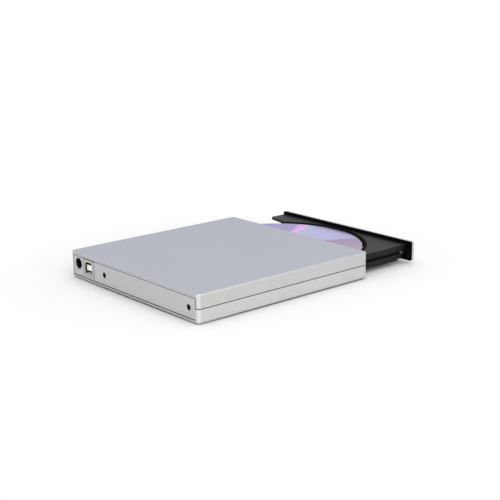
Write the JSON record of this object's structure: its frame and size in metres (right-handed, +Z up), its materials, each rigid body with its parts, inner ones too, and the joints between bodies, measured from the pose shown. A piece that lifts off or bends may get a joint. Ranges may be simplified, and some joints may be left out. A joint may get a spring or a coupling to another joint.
{
  "type": "external DVD drive",
  "caption": "Slim external disc drive: silver clamshell case, sliding tray with disc, rear data and power sockets, working traverse and latch.",
  "frame": {"origin": "on the floor under the feet, at the middle of the overall box with the tray drawn out as stored", "axes": "+Y to the rear panel, the tray slides out towards -Y, +Z up, +X to the right seen from the front"},
  "size_m": [0.135, 0.1892, 0.0183],
  "materials": {
    "case_silver": "satin metallic paint",
    "panel_silver": "satin metallic paint",
    "bezel_silver": "satin metallic paint",
    "button_silver": "satin metallic paint",
    "black_plastic": "matt black",
    "chip_black": "matt black",
    "tray_plastic": "fine grain charcoal",
    "sled_plastic": "moulded",
    "black_sheet": "matt black",
    "steel_sheet": "zinc coated sheet",
    "machined_steel": "ground",
    "zinc_screw": "zinc coated",
    "black_screw": "black oxide",
    "tin_plate": "tin coated",
    "white_plastic": "natural",
    "gold": "gold coated",
    "copper_coil": "lacquered winding",
    "circuit_board": "solder mask",
    "rubber": "matt",
    "disc": "clear lacquer over a metal layer",
    "clear": "clear"
  },
  "bodies": {
    "case": {"bottom_cover": "case_silver", "top_cover": "case_silver", "rear_panel": "panel_silver", "rear_screws": "black_screw", "rubber_feet": "rubber", "drive_screws": "zinc_screw", "bridge_board": "circuit_board", "board_screws": "zinc_screw", "bridge_chips": "chip_black", "capacitor": "tin_plate", "bridge_connector": "black_plastic", "usb_shell": "tin_plate", "usb_insulator": "white_plastic", "usb_contacts": "gold", "dc_jack": "black_plastic", "dc_pin": "tin_plate", "drive_chassis": "steel_sheet", "drive_top_plate": "steel_sheet", "top_plate_screws": "black_screw", "left_guide": "white_plastic", "right_guide": "white_plastic", "main_board": "circuit_board", "main_chips": "chip_black", "drive_connector": "white_plastic", "latch_striker": "machined_steel"},
    "tray": {"tray": "tray_plastic", "bezel_back": "black_plastic", "bezel_cover": "bezel_silver", "tray_shield": "steel_sheet", "shield_screws": "black_screw", "switch_board": "circuit_board", "eject_switch": "black_plastic", "light_pipe": "clear", "solenoid": "copper_coil", "latch_pivot": "machined_steel", "traverse_frame": "steel_sheet", "damper_bushes": "rubber", "damper_screws": "black_screw", "spindle_motor": "machined_steel", "guide_rods": "machined_steel", "sled_motor": "machined_steel", "mechanism_cover": "black_sheet"},
    "left_rail": {"left_rail": "steel_sheet"},
    "right_rail": {"right_rail": "steel_sheet"},
    "spindle": {"turntable": "machined_steel", "turntable_pad": "rubber", "hub_claws": "white_plastic", "disc": "disc"},
    "pickup": {"pickup": "sled_plastic", "lens_cover": "black_plastic", "objective_lens": "clear", "feed_nut": "white_plastic"},
    "lead_screw": {"lead_screw": "machined_steel"},
    "eject_button": {"eject_button": "button_silver"},
    "latch": {"latch_lever": "white_plastic"}
  },
  "joints": [
    {"name": "tray_slide", "type": "slide", "parent": "case", "child": "tray", "axis": [0, -1, 0], "range_m": [-0.0506, 0.0674]},
    {"name": "left_rail_slide", "type": "slide", "parent": "case", "child": "left_rail", "axis": [0, -1, 0], "range_m": [-0.0254, 0.0338]},
    {"name": "right_rail_slide", "type": "slide", "parent": "case", "child": "right_rail", "axis": [0, -1, 0], "range_m": [-0.0254, 0.0338]},
    {"name": "spindle_spin", "type": "hinge", "parent": "tray", "child": "spindle", "pos_m": [0.003, -0.02655, 0.0116], "axis": [0, 0, 1], "continuous": true},
    {"name": "sled_slide", "type": "slide", "parent": "tray", "child": "pickup", "axis": [-0.7071, -0.7071, 0], "range_m": [0, 0.036]},
    {"name": "lead_screw_turn", "type": "hinge", "parent": "tray", "child": "lead_screw", "pos_m": [-0.01291, -0.06721, 0.0071], "axis": [-0.7071, -0.7071, 0], "range_deg": [-2, 4322]},
    {"name": "eject_press", "type": "slide", "parent": "tray", "child": "eject_button", "axis": [0, 1, 0], "range_m": [0, 0.0006], "stiffness_N_per_m": 600, "springref_m": -0.0008},
    {"name": "latch_turn", "type": "hinge", "parent": "tray", "child": "latch", "pos_m": [0.0325, -0.08235, 0.0063], "axis": [0, 0, 1], "range_deg": [-14, 0]}
  ],
  "couplings": [
    {"joint": "left_rail_slide", "follows": "tray_slide", "ratio": 0.5},
    {"joint": "right_rail_slide", "follows": "tray_slide", "ratio": 0.5},
    {"joint": "lead_screw_turn", "follows": "sled_slide", "rad_per_m": 2094.4}
  ]
}
